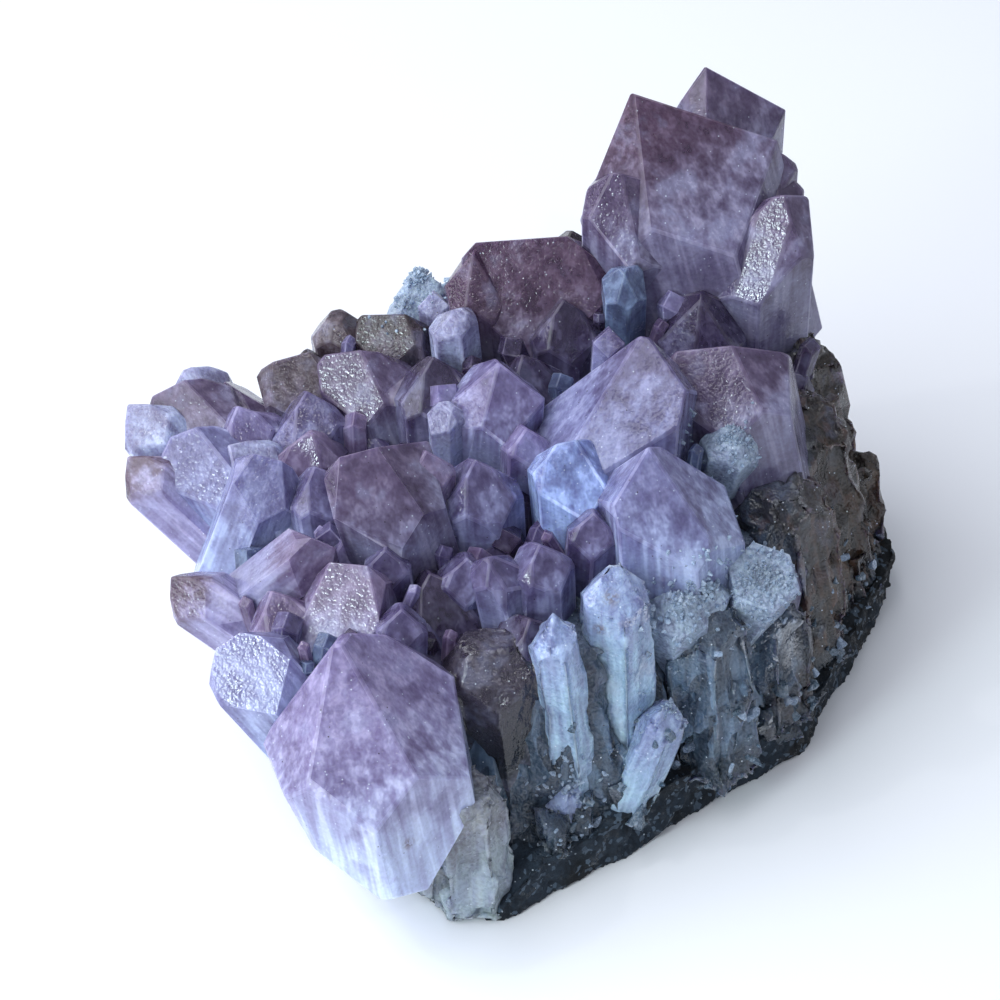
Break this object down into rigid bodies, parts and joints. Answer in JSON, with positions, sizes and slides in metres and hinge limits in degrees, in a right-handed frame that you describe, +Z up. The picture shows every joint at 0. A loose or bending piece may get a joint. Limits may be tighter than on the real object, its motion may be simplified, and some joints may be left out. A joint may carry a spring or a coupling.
{
  "type": "amethyst cluster",
  "caption": "Free-standing cluster of violet and milky quartz points grown together on a thin rind of dark rock with a flat base.",
  "frame": {"origin": "on the flat resting face, below the middle of the crystal bed", "axes": "+Z up; -Y is the front, from which the picture was taken, and +X is to the viewer's right, where the broken wall is"},
  "size_m": [0.1285, 0.1248, 0.0888],
  "materials": {
    "amethyst": "clear to milky quartz, violet at the tips and white at the roots, glossy faces with frosted breaks",
    "matrix_rock": "rough, granular, dark blue-grey with small pale glints"
  },
  "bodies": {
    "root": {"amethyst_crystals": "amethyst", "matrix_rock": "matrix_rock"}
  },
  "joints": []
}
